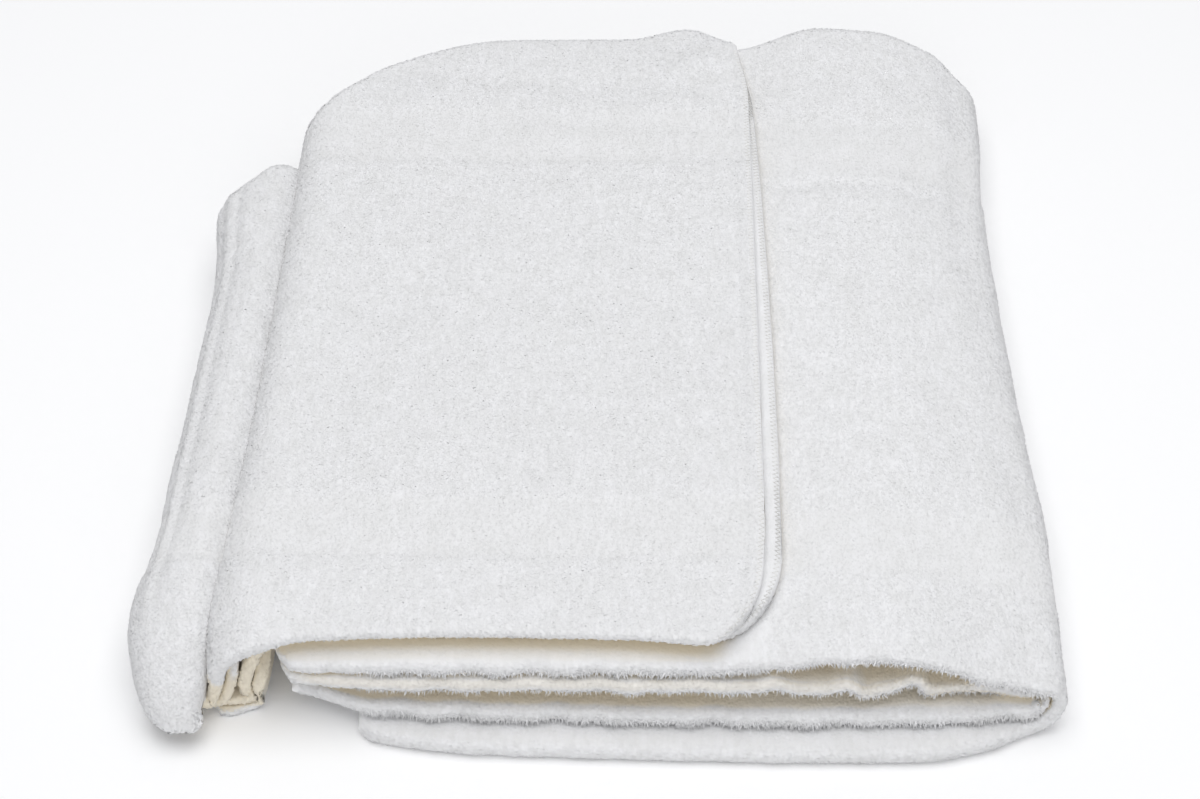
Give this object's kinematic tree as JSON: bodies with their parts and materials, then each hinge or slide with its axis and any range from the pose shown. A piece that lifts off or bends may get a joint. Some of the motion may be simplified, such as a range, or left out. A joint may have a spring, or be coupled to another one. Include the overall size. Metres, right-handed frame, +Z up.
{
  "type": "folded bath towel",
  "caption": "White terry bath towel folded in half and then back and forth into a flat stack, its open edges to the front and a soft rounded bundle of folds along the left side.",
  "frame": {"origin": "centre of the bounding box's bottom face, on the surface that the towel lies on", "axes": "+Z up, +Y away from the open front edges towards the folded back, +X from the rounded bundle towards the plain right fold"},
  "size_m": [0.3308, 0.3786, 0.0479],
  "materials": {
    "terry": "white looped terry pile"
  },
  "bodies": {
    "root": {"towel": "terry"}
  },
  "joints": []
}
